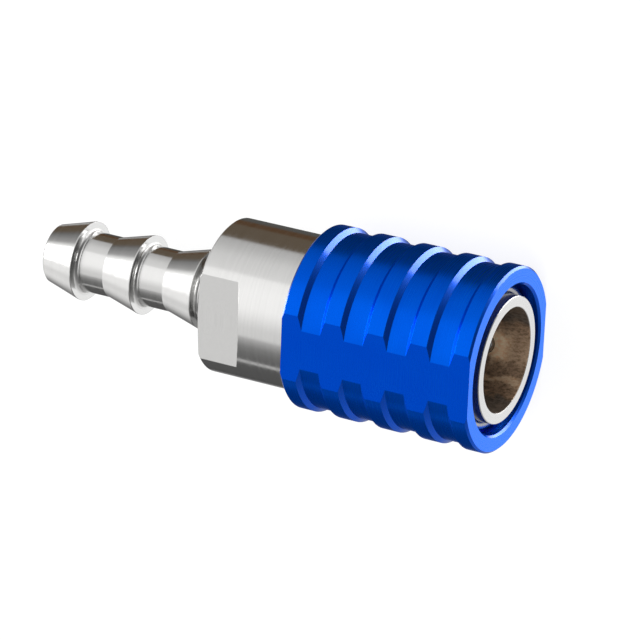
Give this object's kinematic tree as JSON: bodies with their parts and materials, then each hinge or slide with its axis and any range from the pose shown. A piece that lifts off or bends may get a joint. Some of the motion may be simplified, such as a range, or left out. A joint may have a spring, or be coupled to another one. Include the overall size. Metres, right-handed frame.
{
  "type": "liquid cooling quick coupling",
  "caption": "Socket half of a ball-lock quick coupling for coolant hose, with a ridged blue release sleeve, a flat-face valve and a barbed hose tail.",
  "frame": {"origin": "centre of the mouth, in the plane of its face", "axes": "+X along the coupling's axis, out of the mouth; +Z is the outward normal of the sleeve's upper flat; the part lies on the sleeve's lower flat"},
  "size_m": [0.0723, 0.0264, 0.0246],
  "materials": {
    "turned_steel": "fine turned, satin",
    "socket_steel": "fine turned, bright",
    "blue_anodising": "satin blue anodising",
    "spring_wire": "drawn wire",
    "ball_steel": "polished",
    "seal_rubber": "matt moulded rubber"
  },
  "bodies": {
    "socket": {"socket_body": "socket_steel", "hose_tail": "turned_steel", "snap_ring": "spring_wire", "plug_seal": "seal_rubber", "valve_stem": "turned_steel", "stem_seal": "seal_rubber", "stem_support": "turned_steel", "stem_nut": "turned_steel", "body_seal": "seal_rubber", "sleeve_spring": "spring_wire", "valve_spring": "spring_wire"},
    "washer": {"thrust_washer": "turned_steel"},
    "sleeve": {"release_sleeve": "blue_anodising"},
    "valve": {"valve_sleeve": "turned_steel", "valve_seal": "seal_rubber"},
    "ball_1": {"locking_ball_1": "ball_steel"},
    "ball_2": {"locking_ball_2": "ball_steel"},
    "ball_3": {"locking_ball_3": "ball_steel"},
    "ball_4": {"locking_ball_4": "ball_steel"},
    "ball_5": {"locking_ball_5": "ball_steel"},
    "ball_6": {"locking_ball_6": "ball_steel"},
    "ball_7": {"locking_ball_7": "ball_steel"},
    "ball_8": {"locking_ball_8": "ball_steel"}
  },
  "joints": [
    {"name": "sleeve_slide", "type": "slide", "parent": "socket", "child": "washer", "axis": [-1, 0, 0], "range_m": [0, 0.005], "stiffness_N_per_m": 970, "springref_m": -0.006, "deforming": ["sleeve_spring"]},
    {"name": "sleeve_spin", "type": "hinge", "parent": "washer", "child": "sleeve", "pos_m": [0, 0, 0], "axis": [1, 0, 0], "continuous": true},
    {"name": "valve_slide", "type": "slide", "parent": "socket", "child": "valve", "axis": [-1, 0, 0], "range_m": [0, 0.005], "stiffness_N_per_m": 780, "springref_m": -0.004, "deforming": ["valve_spring"]},
    {"name": "ball_1_slide", "type": "slide", "parent": "socket", "child": "ball_1", "axis": [0, -0.5299, 0.848], "range_m": [0, 0.0012]},
    {"name": "ball_2_slide", "type": "slide", "parent": "socket", "child": "ball_2", "axis": [0, -0.9744, 0.225], "range_m": [0, 0.0012]},
    {"name": "ball_3_slide", "type": "slide", "parent": "socket", "child": "ball_3", "axis": [0, -0.848, -0.5299], "range_m": [0, 0.0012]},
    {"name": "ball_4_slide", "type": "slide", "parent": "socket", "child": "ball_4", "axis": [0, -0.225, -0.9744], "range_m": [0, 0.0012]},
    {"name": "ball_5_slide", "type": "slide", "parent": "socket", "child": "ball_5", "axis": [0, 0.5299, -0.848], "range_m": [0, 0.0012]},
    {"name": "ball_6_slide", "type": "slide", "parent": "socket", "child": "ball_6", "axis": [0, 0.9744, -0.225], "range_m": [0, 0.0012]},
    {"name": "ball_7_slide", "type": "slide", "parent": "socket", "child": "ball_7", "axis": [0, 0.848, 0.5299], "range_m": [0, 0.0012]},
    {"name": "ball_8_slide", "type": "slide", "parent": "socket", "child": "ball_8", "axis": [0, 0.225, 0.9744], "range_m": [0, 0.0012]}
  ],
  "couplings": [
    {"joint": "ball_1_slide", "follows": "sleeve_slide", "ratio": 0.24},
    {"joint": "ball_2_slide", "follows": "sleeve_slide", "ratio": 0.24},
    {"joint": "ball_3_slide", "follows": "sleeve_slide", "ratio": 0.24},
    {"joint": "ball_4_slide", "follows": "sleeve_slide", "ratio": 0.24},
    {"joint": "ball_5_slide", "follows": "sleeve_slide", "ratio": 0.24},
    {"joint": "ball_6_slide", "follows": "sleeve_slide", "ratio": 0.24},
    {"joint": "ball_7_slide", "follows": "sleeve_slide", "ratio": 0.24},
    {"joint": "ball_8_slide", "follows": "sleeve_slide", "ratio": 0.24}
  ]
}
